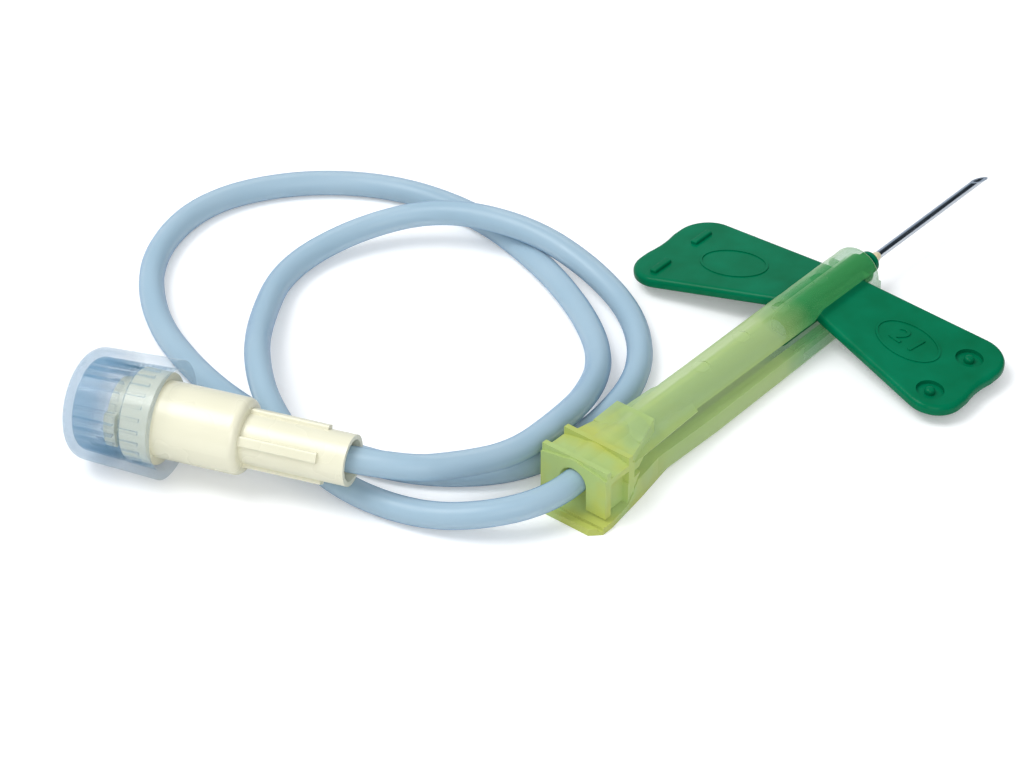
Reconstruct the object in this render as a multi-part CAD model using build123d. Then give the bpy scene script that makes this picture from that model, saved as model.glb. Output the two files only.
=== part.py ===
from build123d import *
from math import cos, pi, radians, sin, tan
import os

# Winged blood collection set with a sliding needle shield, in millimetres.
# X runs along the needle towards its point, Z is up and the shield's flat
# underside lies on Z = 0. The origin is under the middle of the winged needle
# in its shield, so the tubing and its luer end lie beside it.

# Needle
cannula_od = 0.82
cannula_id = 0.51
cannula_exposed = 19.05
cannula_seat = 9.0
bevel_angle = 15.0
bead_radius = 0.60
bead_length = 1.8
bead_in_cup = 0.5

# Flexible tubing
tube_od = 2.5
tube_id = 1.5
tube_in_hub = 6.5
tube_in_luer = 6.5

# Winged hub
hub_radius = 1.6
hub_front = 3.2
hub_rear = 17.0
nose_radius = 1.12
nose_tip = 1.5
nose_round = 0.15
nose_groove_depth = 0.18
nose_groove_width = 0.32
wing_thickness = 1.15
wing_droop = 6.0
wing_root_front = 5.1
wing_root_rear = 12.4
wing_reach = 19.1
front_lobe_x = 7.3
front_lobe_radius = 3.3
rear_lobe_x = 13.7
rear_lobe_radius = 3.0
waist_radius = 9.0
waist_depth = 0.22
waist_blend = 3.0
wing_edge_radius = 0.5
oval_x = 9.9
oval_inset = 8.8
oval_long = 3.6
oval_short = 2.45
oval_turn = 8.0
oval_line = 0.24
oval_relief = 0.10
grip_x = 11.05
grip_inset = 3.15
grip_spacing = 6.55
recess_radius = 1.35
recess_depth = 0.4
knob_radius = 0.5
knob_height = 0.6
bar_length = 2.6
bar_width = 0.75
bar_height = 0.35
bar_round = 0.15

# Sliding shield
axis_height = 3.4
hub_clearance = 0.15
tube_clearance = 0.25
shield_front = 3.4
shield_front_round = 0.65
shell_radius_front = 2.65
shell_radius_rear = 2.45
wall = 0.75
trough_half_middle = 3.05
trough_half_waist = 2.88
trough_wide_x = 30.0
trough_waist_x = 38.8
trough_rim = 2.45
trough_edge_radius = 0.7
slot_lift = 0.17
pocket_lift = 0.45
cheek_step = 0.3
cheek_flare = 0.5
cheek_rise = 0.1
wing_end_gap = 0.25
catch_gap = 0.30
ramp_run = 1.6
foot_run = 3.1
skirt_gap = 0.35
travel = 28.0
block_rear = 47.6
block_half = 3.75
block_bottom = 1.0
block_wall = 1.0
block_neck_half = 3.3
seat_sink = 0.15
ridge_pitch = 3.1
ridge_length = 0.55
ridge_height = 0.3
seat_arch_radius = 14.0
seat_crown = 2.25
ramp_front_x = 38.6
ramp_length = 2.7
ramp_half_rear = 2.75
ramp_half_front = 2.15
ramp_rise = 0.75
side_recess = 0.6
side_recess_top = 4.5
plate_overhang = 1.8
plate_half = 4.2
plate_thickness = 0.7
plate_corner = 0.95
plate_flare = 5.2
plate_neck_step = 0.7
plate_neck_half = 3.45
groove_width = 0.4
groove_depth = 0.3
mark_count = 4
mark_first = 10.3
mark_pitch = 6.2
mark_radius = 0.85
mark_depth = 0.12

# Luer hub and its cap
luer_mouth = (-44.8, 15.33)
luer_yaw = 109.7
luer_small_radius = 2.4
luer_small_length = 10.1
luer_funnel_radius = 1.95
luer_funnel_length = 1.4
luer_rib_count = 4
luer_rib_turn = 28.0
luer_rib_height = 0.35
luer_rib_round = 0.2
luer_rib_width = 1.0
luer_rib_end = 2.55
luer_main_radius = 3.6
luer_main_length = 8.3
luer_shoulder_radius = 0.7
luer_flange_radius = 4.3
luer_flange_length = 2.6
luer_neck_radius = 3.1
luer_neck_length = 0.7
lug_radius = 3.8
lug_length = 1.1
lug_width = 3.4
socket_mouth_radius = 2.16
socket_length = 7.5
socket_taper = 0.03
bore_radius = 0.8
cap_radius_mouth = 5.6
cap_radius_end = 5.2
cap_wall = 0.85
cap_length = 9.0
cap_end_round = 1.7
cap_rib_count = 24
cap_rib_width = 0.32
cap_lip = 1.3
cap_running_gap = 0.08
cap_lug_gap = 0.15
cap_covers = 5.0
cap_step_gap = 0.02
cap_step_length = 0.6

# Route of the tubing after the shield, as corners on the table top
floor_z = tube_od / 2
over_z = 3 * tube_od / 2 + 0.2
route = [
    (-35.6, 0.0, axis_height),
    (-40.0, 2.9, 2.8),
    (-43.0, 8.6, 1.5),
    (-44.3, 16.2, floor_z),
    (-43.9, 22.4, 2.3),
    (-42.0, 28.4, over_z),
    (-37.4, 34.3, over_z),
    (-31.0, 39.9, 2.3),
    (-21.8, 45.4, floor_z),
    (-12.8, 43.8, 2.2),
    (-6.6, 37.9, over_z),
    (-3.7, 29.2, over_z),
    (-3.6, 21.0, 2.5),
    (-6.3, 13.2, floor_z),
    (-13.2, 7.2, floor_z),
    (-22.3, 5.3, floor_z),
    (-31.4, 6.1, floor_z),
    (-38.0, 12.6, floor_z),
    (-40.7, 21.2, floor_z),
    (-41.5, 30.6, floor_z),
    (-39.8, 40.2, floor_z),
    (-35.9, 49.5, floor_z),
    (-28.5, 57.2, floor_z),
    (-18.4, 60.0, floor_z),
    (-9.4, 55.6, floor_z),
    (-3.4, 47.2, floor_z),
    (-2.0, 37.0, floor_z),
    (-4.7, 26.4, floor_z),
    (-8.9, 17.6, floor_z),
    (-14.2, 11.2, 1.7),
    (-20.8, 7.7, 2.9),
    (-27.4, 6.1, 4.1),
    (-33.2, 6.0, 4.25),
    (-38.2, 7.9, 4.9),
]
luer_lead = 4.2

# Worked out from the sizes above
overrun = 1.0
trough_half_front = shell_radius_front
front_lobe_y = wing_reach - front_lobe_radius
rear_lobe_y = wing_reach - rear_lobe_radius
ramp_rear_x = ramp_front_x + ramp_length
plate_neck_x = ramp_rear_x + plate_neck_step
plate_start = plate_neck_x + plate_flare
plate_rear = block_rear + plate_overhang
oval_y = wing_reach - oval_inset
grip_y = wing_reach - grip_inset
catch_x = wing_root_front + travel - catch_gap
stop_x = wing_root_rear + travel + 3 * catch_gap
overall_length = cannula_exposed + plate_rear
base_x = plate_rear - overall_length / 2
axis_plane = Plane(origin=(base_x, 0, axis_height), x_dir=(0, 1, 0), z_dir=(1, 0, 0))
luer_direction = Vector(cos(radians(luer_yaw)), sin(radians(luer_yaw)), 0)
luer_height = cap_radius_mouth
luer_length = luer_small_length + luer_main_length + luer_flange_length + luer_neck_length + lug_length
luer_plane = Plane(
    origin=(luer_mouth[0], luer_mouth[1], luer_height),
    x_dir=(-luer_direction.Y, luer_direction.X, 0),
    z_dir=luer_direction,
)


def at(back):
    """X of a point that lies so far behind the needle's base."""
    return base_x - back


def rod(radius, back_from, back_to):
    """A round rod along the needle's axis between two distances behind its base."""
    length = back_to - back_from
    return Pos(at(back_to), 0, axis_height) * Rot(0, 90, 0) * Cylinder(
        radius, length, align=(Align.CENTER, Align.CENTER, Align.MIN)
    )


def side_profile(points, half_width):
    """A prism across the shield from a profile in back and height."""
    outline = Polyline([(at(back), 0, height) for back, height in points], close=True)
    return extrude(make_face(outline), half_width, both=True)


def plan_prism(half_points, bottom, top):
    """A prism from one half of a plan outline in back and half width, mirrored."""
    near = [(at(back), half) for back, half in half_points]
    far = [(x, -y) for x, y in reversed(near)]
    face = make_face(Polyline(near + far, close=True))
    return Pos(0, 0, bottom) * extrude(face, top - bottom)


# Needle

def make_cannula():
    tip_x = base_x + cannula_exposed
    length = cannula_exposed + cannula_seat
    tube = rod(cannula_od / 2, -cannula_exposed, cannula_seat)
    tube -= rod(cannula_id / 2, -cannula_exposed - overrun, cannula_seat + overrun)
    bevel_length = cannula_od / tan(radians(bevel_angle))
    heel = (tip_x - bevel_length, axis_height + cannula_od / 2)
    point = (tip_x, axis_height - cannula_od / 2)
    spare = length / 10
    waste = Polyline(
        (heel[0] - spare, 0, heel[1] + spare * tan(radians(bevel_angle))),
        (point[0] + spare, 0, point[1] - spare * tan(radians(bevel_angle))),
        (point[0] + spare, 0, heel[1] + spare),
        close=True,
    )
    return tube - extrude(make_face(waste), cannula_od, both=True)


def make_bead():
    seat_x = at(nose_tip + bead_in_cup)
    crown_x = seat_x + bead_length
    profile = make_face(
        Polyline(
            (seat_x, axis_height + cannula_od / 2),
            (seat_x, axis_height + bead_radius),
            (seat_x + bead_in_cup, axis_height + bead_radius),
        )
        + ThreePointArc(
            (seat_x + bead_in_cup, axis_height + bead_radius),
            (seat_x + 0.75 * bead_length, axis_height + 0.5 * (bead_radius + cannula_od / 2) + 0.02),
            (crown_x, axis_height + cannula_od / 2),
        )
        + Line((crown_x, axis_height + cannula_od / 2), (seat_x, axis_height + cannula_od / 2))
    )
    axis = Axis((0, 0, axis_height), (1, 0, 0))
    return revolve(Plane.XZ * profile, axis)


# Winged hub

def wing_plate():
    """The right wing, flat: its own outline in back and reach, extruded and rounded."""
    front = Pos(at(front_lobe_x), -front_lobe_y) * Circle(front_lobe_radius)
    rear = Pos(at(rear_lobe_x), -rear_lobe_y) * Circle(rear_lobe_radius)
    root = Line((at(wing_root_front), -hub_radius / 2), (at(wing_root_rear), -hub_radius / 2))
    outline = make_hull(front.edges() + rear.edges() + root.edges())
    middle_x = at((front_lobe_x + rear_lobe_x) / 2)
    tip_y = -(front_lobe_y + front_lobe_radius + rear_lobe_y + rear_lobe_radius) / 2
    outline -= Pos(middle_x, tip_y - waist_radius + waist_depth) * Circle(waist_radius)
    waist_half = (2 * waist_radius * waist_depth) ** 0.5 + waist_depth
    ends = outline.vertices().filter_by_position(Axis.Y, tip_y - waist_depth, tip_y + waist_depth)
    corners = ends.filter_by_position(Axis.X, middle_x - waist_half, middle_x + waist_half)
    outline = fillet(corners, waist_blend)
    plate = Pos(0, 0, axis_height - wing_thickness / 2) * extrude(outline, wing_thickness)
    rims = plate.edges().filter_by_position(Axis.Y, -100, -hub_radius - 0.1)
    upper = [e for e in rims if min(v.Z for v in e.vertices()) > axis_height]
    plate = fillet(upper, wing_edge_radius)
    under = axis_height - wing_thickness / 2 + 0.01
    rims = plate.edges().filter_by_position(Axis.Y, -100, -hub_radius)
    lower = [e for e in rims if max(v.Z for v in e.vertices()) < under]
    return fillet(lower, wing_edge_radius * 0.7)


def on_wing(shape, back, reach):
    return Pos(at(back), -reach, axis_height + wing_thickness / 2) * shape


def recess_with_knob():
    """What is cut out of a wing for one grip, and the knob that stands in it."""
    dish = Pos(0, 0, -recess_depth) * Cylinder(
        recess_radius, 2 * recess_depth, align=(Align.CENTER, Align.CENTER, Align.MIN)
    )
    knob = Cylinder(knob_radius, knob_height, align=(Align.CENTER, Align.CENTER, Align.MIN))
    knob = fillet(knob.edges().sort_by(Axis.Z)[-1], knob_radius * 0.7)
    return dish, Pos(0, 0, -recess_depth) * knob


def grip_bar():
    """One raised bar that lies along the needle."""
    bar = Box(bar_length, bar_width, bar_height, align=(Align.CENTER, Align.CENTER, Align.MIN))
    bar = fillet(bar.edges().filter_by(Axis.Z), bar_round)
    return fillet(bar.faces().sort_by(Axis.Z)[-1].edges(), bar_round)


def dressed_wing(recessed):
    """A wing with its raised oval line and either two recesses or the bars that meet them."""
    wing = wing_plate()
    line = Ellipse(oval_long, oval_short) - Ellipse(oval_long - oval_line, oval_short - oval_line)
    wing += on_wing(Rot(0, 0, 90 - oval_turn) * extrude(line, oval_relief), oval_x, oval_y)
    dish, knob = recess_with_knob()
    for step in (-0.5, 0.5):
        back = grip_x + step * grip_spacing
        if recessed:
            wing -= on_wing(dish, back, grip_y)
            wing += on_wing(knob, back, grip_y)
        else:
            wing += on_wing(grip_bar(), back, grip_y)
    droop = Axis((0, -hub_radius, axis_height), (1, 0, 0))
    return wing.rotate(droop, wing_droop)


def make_hub():
    body = rod(hub_radius, hub_front, hub_rear)
    nose = rod(nose_radius, nose_tip, hub_front)
    body += fillet(nose.edges().sort_by(Axis.X)[-1], nose_round)
    groove_at = (nose_tip + hub_front) / 2 - nose_groove_width
    ring = rod(nose_radius + overrun, groove_at, groove_at + nose_groove_width)
    body -= ring - rod(nose_radius - nose_groove_depth, groove_at, groove_at + nose_groove_width)
    body += dressed_wing(recessed=True)
    body += mirror(dressed_wing(recessed=False), Plane.XZ)
    body -= rod(bead_radius, nose_tip - overrun, nose_tip + bead_in_cup)
    body -= rod(cannula_od / 2, -overrun, hub_rear + overrun)
    body -= rod(tube_od / 2, hub_rear - tube_in_hub, hub_rear + overrun)
    return body


# Sliding shield

def slot_void():
    """Side view of the two slots: resting pocket, narrow way, catch and open rear."""
    narrow = axis_height + wing_thickness / 2 + slot_lift
    pocket = narrow + pocket_lift
    front = wing_root_front - wing_end_gap
    ramp = wing_root_rear + wing_end_gap
    fall = (narrow - block_bottom) / foot_run
    rim_turn = stop_x + (narrow - skirt_gap - trough_rim) / fall
    rim_foot = stop_x + (narrow - skirt_gap - plate_thickness) / fall
    return [
        (front, trough_rim),
        (front, pocket),
        (ramp, pocket),
        (ramp + ramp_run, narrow),
        (stop_x, narrow),
        (stop_x + foot_run, block_bottom),
        (plate_rear + overrun, block_bottom),
        (plate_rear + overrun, plate_thickness),
        (rim_foot, plate_thickness),
        (rim_turn, trough_rim),
    ]


def make_cheeks():
    """The two walls that widen the rear of the slots, behind the catch."""
    low = axis_height
    cheeks = []
    for side in (-1, 1):
        sections = []
        for back, widen in ((catch_x, 0), (stop_x + foot_run, cheek_flare)):
            reach = shell_radius_rear + cheek_step + widen
            corners = [
                (shell_radius_rear / 2, low),
                (reach, low),
                (reach, low + wing_thickness / 2 + slot_lift + cheek_rise),
                (shell_radius_rear / 2, low + shell_radius_rear * 0.88),
            ]
            points = [(at(back), side * y, z) for y, z in corners]
            sections.append(make_face(Polyline(*points, close=True)))
        cheeks.append(loft(sections))
    return cheeks


def make_shell():
    """The upper half tube with the thumb block on its rear."""
    length = block_rear - shield_front
    shell = Pos(at(block_rear), 0, axis_height) * Rot(0, 90, 0) * Cone(
        shell_radius_rear, shell_radius_front, length, align=(Align.CENTER, Align.CENTER, Align.MIN)
    )
    shell = fillet(shell.edges().sort_by(Axis.X)[-1], shield_front_round)
    for i in range(mark_count):
        back = mark_first + i * mark_pitch
        along = (back - shield_front) / length
        radius = shell_radius_front - (shell_radius_front - shell_radius_rear) * along
        depth = Cylinder(mark_radius, wall, align=(Align.CENTER, Align.CENTER, Align.MIN))
        shell -= Pos(at(back), 0, axis_height + radius - mark_depth) * depth
    return shell


def make_block():
    """Thumb block: ribbed seat that rises to a stop at the front."""
    ridge_rear = block_rear - block_wall / 2
    ridge_front = ridge_rear - ridge_pitch
    plan = [
        (block_rear, block_half),
        (ridge_front - ridge_length, block_half),
        (ridge_front - ridge_length, block_neck_half),
        (ramp_rear_x, ramp_half_rear),
        (ramp_front_x, ramp_half_front),
    ]
    crown = axis_height + seat_crown
    prism = plan_prism(plan, block_bottom, crown)
    arch = Pos(at(block_rear), 0, crown - seat_arch_radius) * Rot(0, 90, 0) * Cylinder(
        seat_arch_radius, block_rear - ramp_front_x, align=(Align.CENTER, Align.CENTER, Align.MIN)
    )
    block = prism & arch
    top = crown + ridge_height
    for back in (ridge_rear, ridge_front):
        ends = [(back + ridge_length / 2, block_half), (back - ridge_length / 2, block_half)]
        block += plan_prism(ends, block_bottom, top)
    low_crown = crown - seat_sink
    ramp = side_profile(
        [
            (ramp_rear_x, low_crown),
            (ramp_front_x, crown + ramp_rise),
            (ramp_front_x, axis_height),
            (ramp_rear_x, axis_height),
        ],
        block_half,
    )
    block += ramp & plan_prism(plan, block_bottom, crown + 2 * ramp_rise)
    recess_rear = ridge_rear - ridge_length / 2
    recess_front = ridge_front + ridge_length / 2
    for side in (-1, 1):
        box = Box(
            recess_rear - recess_front,
            2 * side_recess,
            side_recess_top - block_bottom,
            align=(Align.MIN, Align.CENTER, Align.MIN),
        )
        block -= Pos(at(recess_rear), side * block_half, block_bottom) * box
    return block


def make_trough():
    """The lower channel, its front collar and the flared plate at its rear."""
    plan = [
        (shield_front, trough_half_front),
        (trough_wide_x, trough_half_middle),
        (trough_waist_x, trough_half_waist),
        (plate_neck_x, plate_neck_half),
        (plate_start, plate_half),
        (plate_rear - plate_corner, plate_half),
        (plate_rear, plate_half - plate_corner),
    ]
    trough = plan_prism(plan, 0, trough_rim + wall)
    low = [e for e in trough.edges() if abs(e.center().Z) < 0.01 and e.center().X > at(trough_waist_x)]
    sides = [e for e in low if abs(e.center().Y) > trough_half_front - 0.2]
    trough = fillet(sides, trough_edge_radius)
    inner = [
        (wing_root_front - wing_end_gap, trough_half_front - wall),
        (trough_wide_x, trough_half_middle - wall),
        (trough_waist_x, trough_half_waist - wall),
        (plate_neck_x, plate_neck_half - wall),
        (plate_start, plate_half - wall),
        (plate_rear + overrun, plate_half - wall),
    ]
    trough -= plan_prism(inner, plate_thickness, trough_rim + 2 * wall)
    above = [
        (stop_x + foot_run, plate_thickness),
        (stop_x + foot_run, trough_rim + 2 * wall),
        (plate_rear + overrun, trough_rim + 2 * wall),
        (plate_rear + overrun, plate_thickness),
    ]
    trough -= side_profile(above, 2 * plate_half)
    groove = Box(groove_width, 2 * (plate_half + overrun), 2 * groove_depth)
    return trough - Pos(at(plate_rear - 2 * groove_width), 0, plate_thickness) * groove


def make_shield():
    collar_length = wing_root_front - wing_end_gap - shield_front
    collar = Pos(at(shield_front), 0, 0) * Box(
        collar_length, 2 * trough_half_front, axis_height, align=(Align.MAX, Align.CENTER, Align.MIN)
    )
    low = [e for e in collar.edges().filter_by(Axis.X) if e.center().Z < 0.01]
    collar = fillet(low, trough_edge_radius)
    front = collar.faces().sort_by(Axis.X)[-1].edges()
    collar = fillet([e for e in front if e.center().Z < axis_height - 0.01], shield_front_round)
    shield = make_shell() + make_block() + collar + make_trough()
    for cheek in make_cheeks():
        shield += cheek
    shield -= side_profile(slot_void(), 2 * block_half)
    bore = hub_radius + hub_clearance
    inner_rear = block_rear - block_wall
    shield -= rod(bore, shield_front - overrun, inner_rear)
    depth = axis_height - plate_thickness
    channel = Box(
        inner_rear - wing_root_front, 2 * bore, depth, align=(Align.MIN, Align.CENTER, Align.MIN)
    )
    shield -= Pos(at(inner_rear), 0, plate_thickness) * channel
    arch_radius = tube_od / 2 + tube_clearance
    shield -= rod(arch_radius, inner_rear - overrun, plate_rear + overrun)
    arch_way = Box(
        block_wall + 2 * overrun, 2 * arch_radius, depth, align=(Align.CENTER, Align.CENTER, Align.MIN)
    )
    return shield - Pos(at(block_rear - block_wall / 2), 0, plate_thickness) * arch_way


# Luer hub and its cap, along the luer's own axis from the tube's mouth

def along_luer(shape, start=0.0):
    return luer_plane * (Pos(0, 0, start) * shape)


def disc(radius, start, length):
    return Pos(0, 0, start) * Cylinder(radius, length, align=(Align.CENTER, Align.CENTER, Align.MIN))


def make_luer_hub():
    small = disc(luer_small_radius, 0, luer_small_length)
    rib = Box(
        2 * (luer_small_radius + luer_rib_height),
        luer_rib_width,
        luer_small_length - luer_rib_end,
        align=(Align.CENTER, Align.CENTER, Align.MIN),
    )
    rib = fillet(rib.edges().filter_by(Axis.Z), luer_rib_round)
    for i in range(luer_rib_count // 2):
        turn = luer_rib_turn + i * 360 / luer_rib_count
        small += Rot(0, 0, turn) * Pos(0, 0, luer_rib_end) * rib
    main = disc(luer_main_radius, luer_small_length, luer_main_length)
    main = fillet(main.edges().sort_by(Axis.Z)[0], luer_shoulder_radius)
    flange_at = luer_small_length + luer_main_length
    neck_at = flange_at + luer_flange_length
    lug_at = neck_at + luer_neck_length
    body = small + main + disc(luer_flange_radius, flange_at, luer_flange_length)
    body += disc(luer_neck_radius, neck_at, luer_neck_length + lug_length)
    lugs = disc(lug_radius, lug_at, lug_length)
    lug_bar = Pos(0, 0, lug_at) * Box(
        2 * lug_radius, lug_width, lug_length, align=(Align.CENTER, Align.CENTER, Align.MIN)
    )
    body += lugs & lug_bar
    socket = Pos(0, 0, luer_length - socket_length) * Cone(
        socket_mouth_radius - socket_taper * socket_length,
        socket_mouth_radius,
        socket_length,
        align=(Align.CENTER, Align.CENTER, Align.MIN),
    )
    body -= socket
    body -= disc(bore_radius, -overrun, luer_length)
    body -= disc(tube_od / 2, -overrun, overrun + tube_in_luer)
    body -= Cone(
        luer_funnel_radius, tube_od / 2, luer_funnel_length, align=(Align.CENTER, Align.CENTER, Align.MIN)
    )
    return along_luer(body)


def cap_ribs(cavity, tip_radius, start, length):
    """A ring of straight ribs on the cap's inner wall, between two depths."""
    height = 2 * (cap_radius_mouth - tip_radius)
    bar = Box(height, cap_rib_width, length, align=(Align.CENTER, Align.CENTER, Align.MIN))
    rib = Pos(cap_radius_mouth, 0, start) * bar & cavity
    return [Rot(0, 0, i * 360 / cap_rib_count) * rib for i in range(cap_rib_count)]


def make_cap():
    """A closed clear cap, ribbed inside, pushed over the luer end up to its step."""
    upright = (Align.CENTER, Align.CENTER, Align.MIN)
    outer = Cone(cap_radius_mouth, cap_radius_end, cap_length, align=upright)
    outer = fillet(outer.edges().sort_by(Axis.Z)[-1], cap_end_round)
    depth = cap_length - cap_wall
    cavity = Cone(cap_radius_mouth - cap_wall, cap_radius_end - cap_wall, depth, align=upright)
    cavity = fillet(cavity.edges().sort_by(Axis.Z)[-1], cap_end_round - cap_wall)
    step_at = cap_covers - luer_neck_length - lug_length + cap_step_gap
    step_radius = lug_radius + cap_lug_gap
    front_ribs = cap_ribs(cavity, luer_flange_radius + cap_running_gap, cap_lip, step_at - cap_lip)
    deep_ribs = cap_ribs(cavity, step_radius, step_at, depth - step_at)
    step = disc(cap_radius_mouth, step_at, cap_step_length) - disc(step_radius, step_at, cap_step_length)
    room = cavity - step
    for rib in front_ribs + deep_ribs:
        room -= rib
    return along_luer(outer - room, luer_length - cap_covers)


# Tubing

def tube_path():
    start = Vector(at(hub_rear - tube_in_hub), 0, axis_height)
    mouth = Vector(luer_mouth[0], luer_mouth[1], luer_height)
    end = mouth + luer_direction * tube_in_luer
    corners = [Vector(*point) for point in route]
    lead = mouth - luer_direction * luer_lead
    points = [start, *corners, lead, end]
    radii = []
    for before, corner, after in zip(points, points[1:], points[2:]):
        turn = (corner - before).get_angle(after - corner)
        run = min((corner - before).length, (after - corner).length)
        radii.append(0.45 * run / tan(radians(turn) / 2))
    return FilletPolyline(*points, radius=radii), radii


def make_tubing():
    path, radii = tube_path()
    ring = Plane(origin=path @ 0, z_dir=path % 0) * (Circle(tube_od / 2) - Circle(tube_id / 2))
    tube = sweep(ring, path=path)
    area = pi * (tube_od**2 - tube_id**2) / 4
    ratio = tube.volume / (area * path.length)
    print("tube length", round(path.length, 1), "volume ratio", round(ratio, 4))
    print("bend radii", [round(radius, 1) for radius in radii])
    return tube


parts = {
    "cannula": make_cannula,
    "needle_bead": make_bead,
    "winged_hub": make_hub,
    "needle_shield": make_shield,
    "tubing": make_tubing,
    "luer_hub": make_luer_hub,
    "luer_cap": make_cap,
}

os.makedirs("parts", exist_ok=True)
for name, make in parts.items():
    solid = make()
    solid.label = name
    export_step(solid, f"parts/{name}.step")
    print(name, round(solid.volume, 2), solid.is_valid)
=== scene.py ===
import logging
import math
from dataclasses import dataclass, field
from enum import Enum
from typing import Any

import bmesh
import bpy
from mathutils import Matrix, Vector


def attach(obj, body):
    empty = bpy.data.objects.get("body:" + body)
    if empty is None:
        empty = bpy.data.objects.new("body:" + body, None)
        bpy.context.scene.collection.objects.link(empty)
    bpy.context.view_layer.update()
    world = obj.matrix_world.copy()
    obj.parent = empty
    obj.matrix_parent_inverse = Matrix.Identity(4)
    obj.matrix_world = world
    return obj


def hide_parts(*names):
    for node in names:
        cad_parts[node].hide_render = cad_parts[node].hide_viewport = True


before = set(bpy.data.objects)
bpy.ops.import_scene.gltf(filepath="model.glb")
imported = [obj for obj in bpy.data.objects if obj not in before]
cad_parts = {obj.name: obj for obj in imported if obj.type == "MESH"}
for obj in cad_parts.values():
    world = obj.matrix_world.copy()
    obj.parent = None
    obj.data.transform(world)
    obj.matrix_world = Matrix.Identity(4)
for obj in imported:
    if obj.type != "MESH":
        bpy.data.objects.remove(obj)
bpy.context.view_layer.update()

log = logging.getLogger("needle")
MM = 0.001
Colour = tuple[float, float, float]
Range = tuple[float, float]
SPREAD: Range = (0.3, 0.7)
NOISE_ROUGHNESS = 0.55


class Body(Enum):
    """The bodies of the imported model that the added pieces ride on."""

    SET = "root"


class Value:
    """A shader socket that works in sums: each operator adds one Math node."""

    def __init__(self, graph: "Graph", socket: bpy.types.NodeSocket) -> None:
        """Keeps the socket and the graph that new nodes go into."""
        self.graph = graph
        self.socket = socket

    def maths(self, operation: str, *values: Any) -> "Value":
        """Adds a Math node on these values.

        Args:
            operation: the node's operation, such as MULTIPLY.
            values: numbers or other values, in the node's order.

        Returns:
            The node's result.
        """
        return self.graph.add("ShaderNodeMath", {"operation": operation}, dict(enumerate(values)))

    def __add__(self, other: Any) -> "Value":
        """Sum."""
        return self.maths("ADD", self, other)

    def __sub__(self, other: Any) -> "Value":
        """Difference."""
        return self.maths("SUBTRACT", self, other)

    def __mul__(self, other: Any) -> "Value":
        """Product."""
        return self.maths("MULTIPLY", self, other)


class Graph:
    """One material's nodes, with the surface shader already in place."""

    def __init__(self, name: str) -> None:
        """Makes an empty material with its output and its shader."""
        self.material = bpy.data.materials.new(name)
        self.material.use_nodes = True
        self.tree = self.material.node_tree
        self.tree.nodes.clear()
        self.output = self.tree.nodes.new("ShaderNodeOutputMaterial")
        self.shader = self.tree.nodes.new("ShaderNodeBsdfPrincipled")
        self.tree.links.new(self.shader.outputs[0], self.output.inputs["Surface"])

    def add(self, kind: str, settings: dict[str, Any], inputs: dict[Any, Any], out: Any = 0) -> Value:
        """Adds a node.

        Args:
            kind: the node's type.
            settings: its properties.
            inputs: its sockets by name or number, each a number, a colour or a Value.
            out: the output to give back, by name or number.

        Returns:
            That output.
        """
        node = self.tree.nodes.new(kind)
        for key, value in settings.items():
            setattr(node, key, value)
        for key, value in inputs.items():
            self.feed(node.inputs[key], value)
        return Value(self, node.outputs[out])

    def feed(self, socket: bpy.types.NodeSocket, value: Any) -> None:
        """Links a Value to a socket, or sets a plain one on it."""
        if isinstance(value, Value):
            self.tree.links.new(value.socket, socket)
        elif isinstance(value, tuple) and len(value) == 3 and socket.type == "RGBA":
            socket.default_value = (*value, 1.0)
        else:
            socket.default_value = value

    def surface(self, **sockets: Any) -> None:
        """Feeds the surface shader, with underscores for the spaces in a socket's name."""
        for name, value in sockets.items():
            self.feed(self.shader.inputs[name.replace("_", " ")], value)

    def place(self, scale: tuple[float, float, float] = (1, 1, 1)) -> Value:
        """The place on the piece, scaled for a pattern."""
        where = self.add("ShaderNodeTexCoord", {}, {}, "Object")
        return self.add("ShaderNodeMapping", {}, {"Vector": where, "Scale": scale})

    def noise(self, where: Value, scale: float, detail: float = 2.0) -> Value:
        """A cloudy pattern from 0 to 1 at so many cells a metre."""
        cells = {"Vector": where, "Scale": scale, "Detail": detail, "Roughness": NOISE_ROUGHNESS}
        return self.add("ShaderNodeTexNoise", {}, cells)

    def blend(self, share: Any, first: Any, second: Any) -> Value:
        """Mixes two colours."""
        mix = {"data_type": "RGBA", "blend_type": "MIX"}
        return self.add("ShaderNodeMix", mix, {0: share, 6: first, 7: second}, 2)

    def facing(self) -> Value:
        """How far the surface turns away from the eye, from 0 to 1."""
        return self.add("ShaderNodeLayerWeight", {}, {"Blend": 0.5}, "Facing")

    def span(self, value: Value, low: float, high: float, to_low: float = 0.0, to_high: float = 1.0) -> Value:
        """Stretches a range of a value onto another range, and holds it there."""
        ends = {"Value": value, 1: low, 2: high, 3: to_low, 4: to_high}
        return self.add("ShaderNodeMapRange", {"clamp": True}, ends)

    def bump(self, height: Value, depth: float) -> Value:
        """The normal of a relief that is so many metres deep."""
        return self.add("ShaderNodeBump", {}, {"Height": height, "Distance": depth, "Strength": 1.0})


@dataclass(frozen=True)
class PolishedSteel:
    """Drawn and polished stainless tube, with fine lines along it."""

    bright: Colour = (0.66, 0.70, 0.74)
    dark: Colour = (0.44, 0.48, 0.54)
    lines: float = 6000.0
    stretch: float = 0.03
    patches: float = 420.0
    spread: Range = (0.3, 0.75)
    roughness: Range = (0.16, 0.26)

    def material(self) -> bpy.types.Material:
        """Builds the material."""
        graph = Graph("polished_steel")
        drawn = graph.noise(graph.place((self.stretch, 1, 1)), self.lines)
        handled = graph.noise(graph.place(), self.patches)
        graph.surface(
            Base_Color=graph.blend(graph.span(drawn, *self.spread), self.bright, self.dark),
            Metallic=1.0,
            Roughness=graph.span(handled, *self.spread, *self.roughness),
        )
        return graph.material


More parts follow.
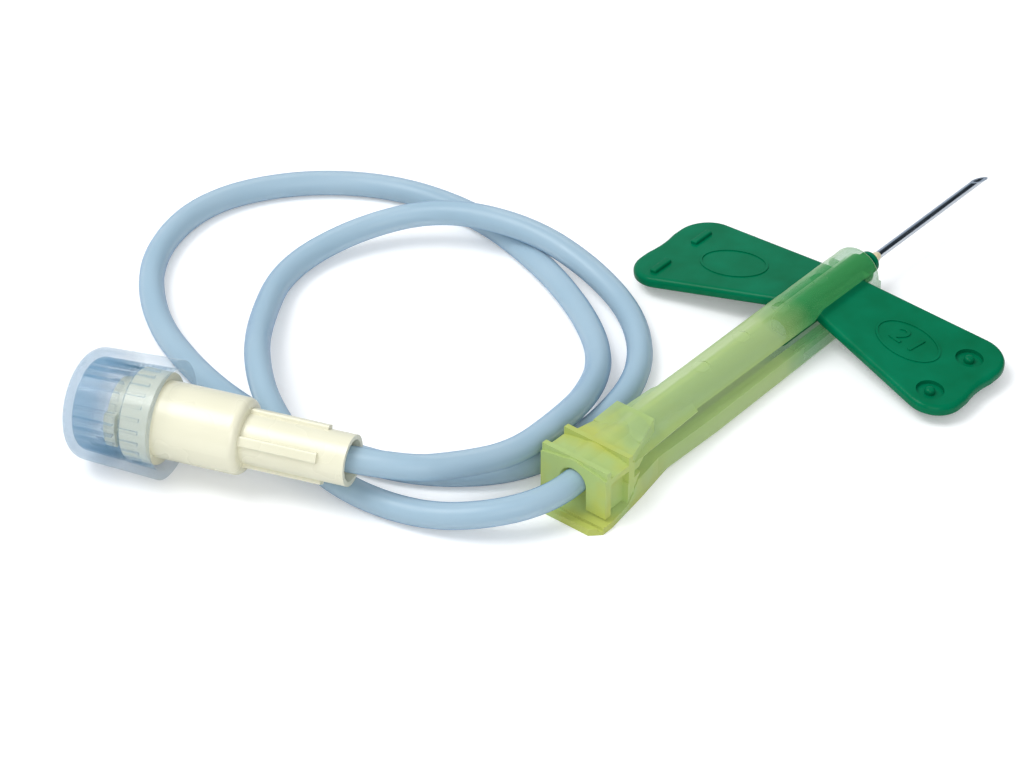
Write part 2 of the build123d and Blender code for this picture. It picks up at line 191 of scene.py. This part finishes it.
@dataclass(frozen=True)
class Adhesive:
    """A cured drop of cream adhesive."""

    pale: Colour = (0.82, 0.74, 0.52)
    warm: Colour = (0.70, 0.56, 0.33)
    clouds: float = 1800.0
    roughness: Range = (0.28, 0.45)
    depth: float = 0.03 * MM

    def material(self) -> bpy.types.Material:
        """Builds the material."""
        graph = Graph("cured_adhesive")
        cloud = graph.noise(graph.place(), self.clouds, 3.0)
        graph.surface(
            Base_Color=graph.blend(graph.span(cloud, 0.35, 0.7), self.pale, self.warm),
            Roughness=graph.span(cloud, *SPREAD, *self.roughness),
            Subsurface_Weight=0.3,
            Subsurface_Radius=(0.6 * MM, 0.4 * MM, 0.2 * MM),
            Subsurface_Scale=1.0,
            Normal=graph.bump(cloud, self.depth),
        )
        return graph.material


@dataclass(frozen=True)
class SoftGreen:
    """Soft moulded plastic of the winged hub, with a slightly uneven gloss."""

    deep: Colour = (0.000, 0.125, 0.050)
    light: Colour = (0.000, 0.160, 0.072)
    clouds: float = 260.0
    grains: float = 3000.0
    roughness: Range = (0.20, 0.27)
    depth: float = 0.04 * MM

    def material(self) -> bpy.types.Material:
        """Builds the material."""
        graph = Graph("soft_green")
        where = graph.place()
        cloud = graph.noise(where, self.clouds)
        grain = graph.noise(where, self.grains)
        graph.surface(
            Base_Color=graph.blend(graph.span(cloud, *SPREAD), self.deep, self.light),
            Roughness=graph.span(grain, *SPREAD, *self.roughness),
            Specular_IOR_Level=0.08,
            Normal=graph.bump(cloud + grain * 0.06, self.depth),
        )
        return graph.material


@dataclass(frozen=True)
class YellowGreen:
    """Translucent moulded plastic of the shield, denser in its thick thumb block."""

    painted_hub_seen_through: Colour = (0.05, 0.30, 0.08)
    rim: Colour = (0.34, 0.50, 0.26)
    thin: Colour = (0.35, 0.475, 0.175)
    thick: Colour = (0.41, 0.46, 0.10)
    misty: Colour = (0.36, 0.48, 0.17)
    glow: float = 0.2
    clouds: float = 230.0
    grains: float = 1500.0
    hub_x: float = -1.8 * MM
    block_x: float = -25.5 * MM
    roughness: Range = (0.28, 0.36)
    thin_alpha: Range = (0.44, 0.80)
    clearer: float = 0.20
    thick_alpha: float = 0.80

    def material(self) -> bpy.types.Material:
        """Builds the material: clearer in front, where the shaded green of the hub seen through the wall is
        painted in, yellower and denser in the block, with a painted glow.
        """
        graph = Graph("yellow_green")
        where = graph.place()
        cloud = graph.noise(where, self.clouds)
        grain = graph.noise(where, self.grains)
        along = graph.add("ShaderNodeSeparateXYZ", {}, {0: where}, "X")
        facing = graph.facing()
        heavy = graph.span(along + cloud * (4 * MM), self.block_x + 8 * MM, self.block_x)
        # Painted: in front of hub_x the shell carries the shaded green of the hub seen through its wall,
        # paler where the wall is seen edge on; the plastic itself is not greener there.
        front = graph.span(along + cloud * (3 * MM), self.hub_x - 1 * MM, self.hub_x + 4 * MM)
        painted_hub_view = graph.blend(graph.span(facing, 0.45, 0.95), self.painted_hub_seen_through, self.rim)
        shell = graph.blend(front, self.thin, painted_hub_view)
        block = graph.blend(graph.span(cloud, 0.38, 0.62), self.thick, self.misty)
        body = graph.blend(heavy, shell, block)
        seen = graph.span(facing, 0.1, 0.9, *self.thin_alpha) - front * self.clearer
        graph.surface(
            Base_Color=body,
            Alpha=seen.maths("MAXIMUM", seen, heavy * self.thick_alpha),
            Roughness=graph.span(grain * 0.2 + heavy * 0.8, 0.0, 1.0, *self.roughness),
            Specular_IOR_Level=0.4,
            # Painted light: the shield emits its own body colour at a set strength, which brightens its
            # shaded sides and trough though it is no lamp.
            Emission_Color=body,
            Emission_Strength=self.glow,
        )
        return graph.material


@dataclass(frozen=True)
class FrostedTube:
    """Flexible clear tubing, frosted, with a deeper blue where its wall is seen edge on."""

    pale: Colour = (0.43, 0.59, 0.70)
    blue: Colour = (0.37, 0.54, 0.66)
    edge: Colour = (0.13, 0.32, 0.56)
    clouds: float = 90.0
    grains: float = 1500.0
    roughness: Range = (0.28, 0.38)
    alpha: Range = (0.70, 0.86)

    def material(self) -> bpy.types.Material:
        """Builds the material."""
        graph = Graph("frosted_tube")
        where = graph.place()
        cloud = graph.noise(where, self.clouds)
        grain = graph.noise(where, self.grains)
        facing = graph.facing()
        body = graph.blend(graph.span(cloud, *SPREAD), self.pale, self.blue)
        graph.surface(
            Base_Color=graph.blend(graph.span(facing, 0.6, 1.0), body, self.edge),
            Alpha=graph.span(facing, 0.2, 0.9, *self.alpha),
            Roughness=graph.span(grain, *SPREAD, *self.roughness),
            Specular_IOR_Level=0.4,
        )
        return graph.material


@dataclass(frozen=True)
class Ivory:
    """Rigid ivory plastic of the luer hub."""

    pale: Colour = (0.75, 0.73, 0.565)
    warm: Colour = (0.73, 0.71, 0.54)
    clouds: float = 180.0
    roughness: Range = (0.26, 0.29)

    def material(self) -> bpy.types.Material:
        """Builds the material."""
        graph = Graph("ivory")
        cloud = graph.noise(graph.place(), self.clouds)
        graph.surface(
            Base_Color=graph.blend(graph.span(cloud, *SPREAD), self.pale, self.warm),
            Roughness=graph.span(cloud, *SPREAD, *self.roughness),
        )
        return graph.material


@dataclass(frozen=True)
class ClearStyrene:
    """Clear rigid plastic of the cap, which looks bluer at its edges."""

    tint: Colour = (0.16, 0.36, 0.54)
    edge: Colour = (0.38, 0.56, 0.71)
    clouds: float = 300.0
    axis: tuple[float, float] = (-0.3370952, 0.9414705)
    mouth: float = 52.3 * MM
    roughness: Range = (0.06, 0.14)
    alpha: Range = (0.12, 0.33)
    edge_alpha: float = 0.26

    def material(self) -> bpy.types.Material:
        """Builds the material: clearest over the luer hub's flange, bluer past its mouth."""
        graph = Graph("clear_styrene")
        where = graph.place()
        cloud = graph.noise(where, self.clouds)
        x = graph.add("ShaderNodeSeparateXYZ", {}, {0: where}, "X")
        y = graph.add("ShaderNodeSeparateXYZ", {}, {0: where}, "Y")
        along = x * self.axis[0] + y * self.axis[1]
        past = graph.span(along, self.mouth - 0.5 * MM, self.mouth + 1.2 * MM)
        turned = graph.span(graph.facing(), 0.35, 0.95)
        graph.surface(
            Base_Color=graph.blend(turned, self.tint, self.edge),
            Alpha=graph.span(past, 0.0, 1.0, *self.alpha) + turned * self.edge_alpha,
            Roughness=graph.span(cloud, *SPREAD, *self.roughness),
        )
        return graph.material


def dress(node: str, finish: Any) -> bpy.types.Object:
    """Gives a CAD node its finish.

    Args:
        node: the node's name.
        finish: one of the finishes above.

    Returns:
        The node's object.
    """
    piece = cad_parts[node]
    piece.data.materials.clear()
    piece.data.materials.append(finish.material())
    log.info("dressed %s", node)
    return piece


@dataclass
class NeedleSet:
    """The steel needle and the drop of adhesive that seats it."""

    steel: PolishedSteel = field(default_factory=PolishedSteel)
    adhesive: Adhesive = field(default_factory=Adhesive)

    def build(self) -> None:
        """Dresses both CAD nodes."""
        dress("cannula", self.steel)
        dress("needle_bead", self.adhesive)


@dataclass
class WingedHub:
    """The green hub with its wings, and the gauge number in relief on the right one."""

    finish: SoftGreen = field(default_factory=SoftGreen)
    gauge: str = "21"
    text_size: float = 3.105 * MM
    spacing: float = 1.25
    rounding: float = 0.02 * MM
    relief: float = 0.10 * MM
    sunk: float = 0.10 * MM
    place: tuple[float, float] = (5.275 * MM, -10.3 * MM)
    sweep: float = math.radians(8.0)
    root_y: float = -1.6 * MM
    axis_height: float = 3.4 * MM
    half_thickness: float = 0.575 * MM
    droop: float = math.radians(6.0)

    def build(self) -> None:
        """Dresses the hub and adds the number."""
        hub = dress("winged_hub", self.finish)
        self.number(hub.data.materials[0])

    def number(self, material: bpy.types.Material) -> None:
        """Adds the gauge number, which reads from the hub outwards, on the sloping wing.

        Args:
            material: the hub's own finish, because the number is moulded with it.
        """
        text = bpy.data.curves.new("gauge_number", "FONT")
        text.body = self.gauge
        text.size = self.text_size
        text.align_x, text.align_y = "CENTER", "CENTER"
        text.space_character = self.spacing
        text.extrude = (self.relief + self.sunk) / 2
        text.bevel_depth = self.rounding
        text.bevel_resolution = 1
        source = bpy.data.objects.new("gauge_text", text)
        bpy.context.scene.collection.objects.link(source)
        bpy.context.view_layer.update()
        mesh = bpy.data.meshes.new_from_object(source.evaluated_get(bpy.context.evaluated_depsgraph_get()))
        bpy.data.objects.remove(source)
        lift = self.half_thickness + (self.relief - self.sunk) / 2
        outwards = Matrix.Rotation(-math.pi / 2 - self.sweep, 4, "Z")
        flat = Matrix.Translation((self.place[0], self.place[1], lift))
        hinge = Matrix.Translation((0, self.root_y, self.axis_height))
        lean = hinge @ Matrix.Rotation(self.droop, 4, "X") @ Matrix.Translation((0, -self.root_y, 0))
        mesh.transform(lean @ flat @ outwards)
        mesh.materials.clear()
        mesh.materials.append(material)
        number = bpy.data.objects.new("gauge_number", mesh)
        bpy.context.scene.collection.objects.link(number)
        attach(number, Body.SET.value)
        log.info("made gauge_number")


@dataclass
class Shield:
    """The sliding shield over the hub and the front of the tubing."""

    finish: YellowGreen = field(default_factory=YellowGreen)

    def build(self) -> None:
        """Dresses the CAD node."""
        dress("needle_shield", self.finish)


@dataclass
class Tubing:
    """The free flexible tube, from inside the winged hub to inside the luer hub."""

    finish: FrostedTube = field(default_factory=FrostedTube)
    diameter: float = 2.5 * MM
    wall: float = 0.5 * MM
    length: float = 0.3377
    exit: tuple[float, float, float] = (-0.001825, 0.0, 0.0034)
    sides: int = 6
    steps: int = 16
    merge: float = 0.01 * MM
    route: tuple[tuple[float, float, float], ...] = (
        (0.004675, 0.0, 0.0034),
        (-0.0303, 0.0, 0.0034),
        (-0.0356, 0.0, 0.0034),
        (-0.04, 0.0029, 0.0028),
        (-0.043, 0.0086, 0.0015),
        (-0.0443, 0.0162, 0.00125),
        (-0.0439, 0.0224, 0.0023),
        (-0.042, 0.0284, 0.00395),
        (-0.0374, 0.0343, 0.00395),
        (-0.031, 0.0399, 0.0023),
        (-0.0218, 0.0454, 0.00125),
        (-0.0128, 0.0438, 0.0022),
        (-0.0066, 0.0379, 0.00395),
        (-0.0037, 0.0292, 0.00395),
        (-0.0036, 0.021, 0.0025),
        (-0.0063, 0.0132, 0.00125),
        (-0.0132, 0.0072, 0.00125),
        (-0.0223, 0.0053, 0.00125),
        (-0.0314, 0.0061, 0.00125),
        (-0.038, 0.0126, 0.00125),
        (-0.0407, 0.0212, 0.00125),
        (-0.0415, 0.0306, 0.00125),
        (-0.0398, 0.0402, 0.00125),
        (-0.0359, 0.0495, 0.00125),
        (-0.0285, 0.0572, 0.00125),
        (-0.0184, 0.06, 0.00125),
        (-0.0094, 0.0556, 0.00125),
        (-0.0034, 0.0472, 0.00125),
        (-0.002, 0.037, 0.00125),
        (-0.0047, 0.0264, 0.00125),
        (-0.0089, 0.0176, 0.00125),
        (-0.0142, 0.0112, 0.0017),
        (-0.0208, 0.0077, 0.0029),
        (-0.0274, 0.0061, 0.0041),
        (-0.0332, 0.006, 0.00425),
        (-0.0382, 0.0079, 0.0049),
        (-0.0433842, 0.0113758, 0.0056),
        (-0.0469911, 0.0214496, 0.0056),
    )

    def curve(self) -> bpy.types.Object:
        """Makes the tube's centre line as one open spline.

        Returns:
            The curve's object, with no thickness yet.
        """
        line = bpy.data.curves.new("tube_line", "CURVE")
        line.dimensions = "3D"
        line.resolution_u = self.steps
        spline = line.splines.new("NURBS")
        spline.points.add(len(self.route) - 1)
        for point, place in zip(spline.points, self.route):
            point.co = (*place, 1.0)
        spline.order_u = 3
        spline.use_endpoint_u = True
        holder = bpy.data.objects.new("tube_line", line)
        bpy.context.scene.collection.objects.link(holder)
        return holder

    def mesh_of(self, holder: bpy.types.Object) -> bpy.types.Mesh:
        """The mesh that the curve gives with its thickness of the moment."""
        bpy.context.view_layer.update()
        shown = holder.evaluated_get(bpy.context.evaluated_depsgraph_get())
        return bpy.data.meshes.new_from_object(shown)

    def build(self) -> None:
        holder = self.curve()
        centre = self.mesh_of(holder)
        holder.data.bevel_depth = self.diameter / 2
        holder.data.bevel_resolution = self.sides
        mesh = self.mesh_of(holder)
        bpy.data.objects.remove(holder)
        self.smooth(mesh)
        mesh.materials.clear()
        mesh.materials.append(self.finish.material())
        tube = bpy.data.objects.new("flexible_tube", mesh)
        bpy.context.scene.collection.objects.link(tube)
        bore = tube.modifiers.new("bore", "SOLIDIFY")
        bore.thickness = self.wall
        bore.offset = -1.0
        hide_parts("tubing")
        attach(tube, Body.SET.value)
        log.info("made flexible_tube")

    def smooth(self, mesh: bpy.types.Mesh) -> None:
        """Merges the tube's doubled seam and turns its faces outwards."""
        work = bmesh.new()
        work.from_mesh(mesh)
        bmesh.ops.remove_doubles(work, verts=work.verts, dist=self.merge)
        bmesh.ops.recalc_face_normals(work, faces=work.faces)
        for face in work.faces:
            face.smooth = True
        work.to_mesh(mesh)
        work.free()


@dataclass
class LuerEnd:
    """The ivory luer hub and the clear cap over its mouth."""

    ivory: Ivory = field(default_factory=Ivory)
    clear: ClearStyrene = field(default_factory=ClearStyrene)

    def build(self) -> None:
        """Dresses both CAD nodes."""
        dress("luer_hub", self.ivory)
        dress("luer_cap", self.clear)


@dataclass(frozen=True)
class Lamp:
    """A soft square lamp: its name, its place and side in metres, and its power in watts."""

    name: str
    place: tuple[float, float, float]
    side: float
    power: float


@dataclass
class Studio:
    """The camera, the pale floor and the soft light."""

    target: tuple[float, float, float] = (-20.84 * MM, 16.82 * MM, 0.0)
    distance: float = 333.0 * MM
    elevation: float = math.radians(36.0)
    heading: float = math.radians(40.0)
    roll: float = math.radians(-0.15)
    image_width: float = 1024.0
    focal_pixels: float = 10.55 * 333.0
    sensor: float = 36.0
    clip: Range = (0.01, 20.0)
    floor_half: float = 3.0
    floor_drop: float = 0.02 * MM
    floor_colour: Colour = (0.84, 0.85, 0.86)
    floor_glow: float = 0.22
    lamps: tuple[Lamp, ...] = (
        Lamp("key", (-0.30, 0.20, 0.62), 0.35, 2.6),
        Lamp("front", (-0.46, -0.40, 0.34), 0.45, 1.6),
        Lamp("glint", (-0.27, 0.38, 0.55), 0.03, 0.25),
    )

    def camera(self) -> None:
        """Makes the camera at the photograph's angle."""
        data = bpy.data.cameras.new("camera")
        data.sensor_width = self.sensor
        data.lens = self.focal_pixels * self.sensor / self.image_width
        data.clip_start, data.clip_end = self.clip
        camera = bpy.data.objects.new("camera", data)
        bpy.context.scene.collection.objects.link(camera)
        forward = Vector((math.cos(self.heading), math.sin(self.heading), 0))
        look = forward * math.cos(self.elevation) - Vector((0, 0, math.sin(self.elevation)))
        turn = look.to_track_quat("-Z", "Y").to_matrix().to_4x4()
        place = Matrix.Translation(Vector(self.target) - look * self.distance)
        camera.matrix_world = place @ turn @ Matrix.Rotation(self.roll, 4, "Z")
        bpy.context.scene.camera = camera

    def background(self, tree: bpy.types.NodeTree) -> bpy.types.NodeSocket:
        """A socket that is 1 for the rays that should see a white background."""
        path = tree.nodes.new("ShaderNodeLightPath")
        seen = tree.nodes.new("ShaderNodeMath")
        seen.operation = "MAXIMUM"
        tree.links.new(path.outputs["Is Camera Ray"], seen.inputs[0])
        tree.links.new(path.outputs["Is Transmission Ray"], seen.inputs[1])
        return seen.outputs[0]

    def floor(self) -> None:
        """Makes the pale floor, which looks white and keeps the object's shadow."""
        work = bmesh.new()
        bmesh.ops.create_grid(work, x_segments=4, y_segments=4, size=self.floor_half)
        mesh = bpy.data.meshes.new("floor")
        work.to_mesh(mesh)
        work.free()
        floor = bpy.data.objects.new("floor", mesh)
        floor.location.z = -self.floor_drop
        bpy.context.scene.collection.objects.link(floor)
        graph = Graph("pale_floor")
        graph.surface(Base_Color=self.floor_colour, Roughness=0.9, Specular_IOR_Level=0.1)
        glow = graph.tree.nodes.new("ShaderNodeEmission")
        glow.inputs["Strength"].default_value = self.floor_glow
        whole = graph.tree.nodes.new("ShaderNodeAddShader")
        graph.tree.links.new(graph.shader.outputs[0], whole.inputs[0])
        graph.tree.links.new(glow.outputs[0], whole.inputs[1])
        pick = graph.tree.nodes.new("ShaderNodeMixShader")
        graph.tree.links.new(self.background(graph.tree), pick.inputs[0])
        graph.tree.links.new(graph.shader.outputs[0], pick.inputs[1])
        graph.tree.links.new(whole.outputs[0], pick.inputs[2])
        graph.tree.links.new(pick.outputs[0], graph.output.inputs["Surface"])
        mesh.materials.append(graph.material)

    def world(self) -> None:
        """Makes the room: soft for the light, white where it is seen, one-sided in the gloss."""
        world = bpy.data.worlds.new("room")
        bpy.context.scene.world = world
        world.use_nodes = True
        tree = world.node_tree
        tree.nodes.clear()
        where = tree.nodes.new("ShaderNodeTexCoord")
        split = tree.nodes.new("ShaderNodeSeparateXYZ")
        path = tree.nodes.new("ShaderNodeLightPath")
        output = tree.nodes.new("ShaderNodeOutputWorld")
        tree.links.new(where.outputs["Generated"], split.inputs[0])
        soft = self.sky(tree, split.outputs["Z"], (0.05, 0.10, 0.12, 0.15), (0.75, 0.75, 0.76, 0.78))
        gloss = self.sky(tree, split.outputs["Y"], (0.08, 0.02, 0.03, 0.04), (0.52, 0.52, 0.60, 0.70))
        white = tree.nodes.new("ShaderNodeBackground")
        white.inputs["Color"].default_value = (1, 1, 1, 1)
        shiny = self.mixed(tree, path.outputs["Is Glossy Ray"], soft, gloss)
        whole = self.mixed(tree, self.background(tree), shiny, white.outputs[0])
        tree.links.new(whole, output.inputs["Surface"])

    def sky(
        self,
        tree: bpy.types.NodeTree,
        value: bpy.types.NodeSocket,
        low: tuple[float, float, float, float],
        high: tuple[float, float, float, float],
    ) -> bpy.types.NodeSocket:
        """A background that runs between two colours.

        Args:
            tree: the world's nodes.
            value: the direction's part that it runs along.
            low: a place on the ramp and its colour.
            high: a further place and its colour.

        Returns:
            The background's socket.
        """
        ramp = tree.nodes.new("ShaderNodeValToRGB")
        for element, (place, *colour) in zip(ramp.color_ramp.elements, (low, high)):
            element.position = place
            element.color = (*colour, 1)
        room = tree.nodes.new("ShaderNodeBackground")
        tree.links.new(value, ramp.inputs[0])
        tree.links.new(ramp.outputs[0], room.inputs["Color"])
        return room.outputs[0]

    def mixed(self, tree: bpy.types.NodeTree, share: Any, first: Any, second: Any) -> bpy.types.NodeSocket:
        """The first shader, or the second where the share is 1."""
        pick = tree.nodes.new("ShaderNodeMixShader")
        for socket, value in zip(pick.inputs, (share, first, second)):
            tree.links.new(value, socket)
        return pick.outputs[0]

    def hang(self, lamp: Lamp) -> None:
        """Adds a lamp that points at the object."""
        data = bpy.data.lights.new(lamp.name, "AREA")
        data.size = lamp.side
        data.energy = lamp.power
        holder = bpy.data.objects.new(lamp.name, data)
        holder.location = lamp.place
        aim = Vector(self.target) - Vector(lamp.place)
        holder.rotation_mode = "QUATERNION"
        holder.rotation_quaternion = aim.to_track_quat("-Z", "Y")
        bpy.context.scene.collection.objects.link(holder)

    def build(self) -> None:
        """Makes the whole studio."""
        bpy.context.scene.view_settings.view_transform = "Standard"
        self.camera()
        self.floor()
        self.world()
        for lamp in self.lamps:
            self.hang(lamp)
        log.info("made the studio")


def main() -> None:
    """Builds the camera and the cord first, then dresses every other piece."""
    Studio().build()
    Tubing().build()
    NeedleSet().build()
    WingedHub().build()
    Shield().build()
    LuerEnd().build()


if __name__ == "__main__":
    logging.basicConfig(level=logging.INFO, format="%(message)s")
    main()
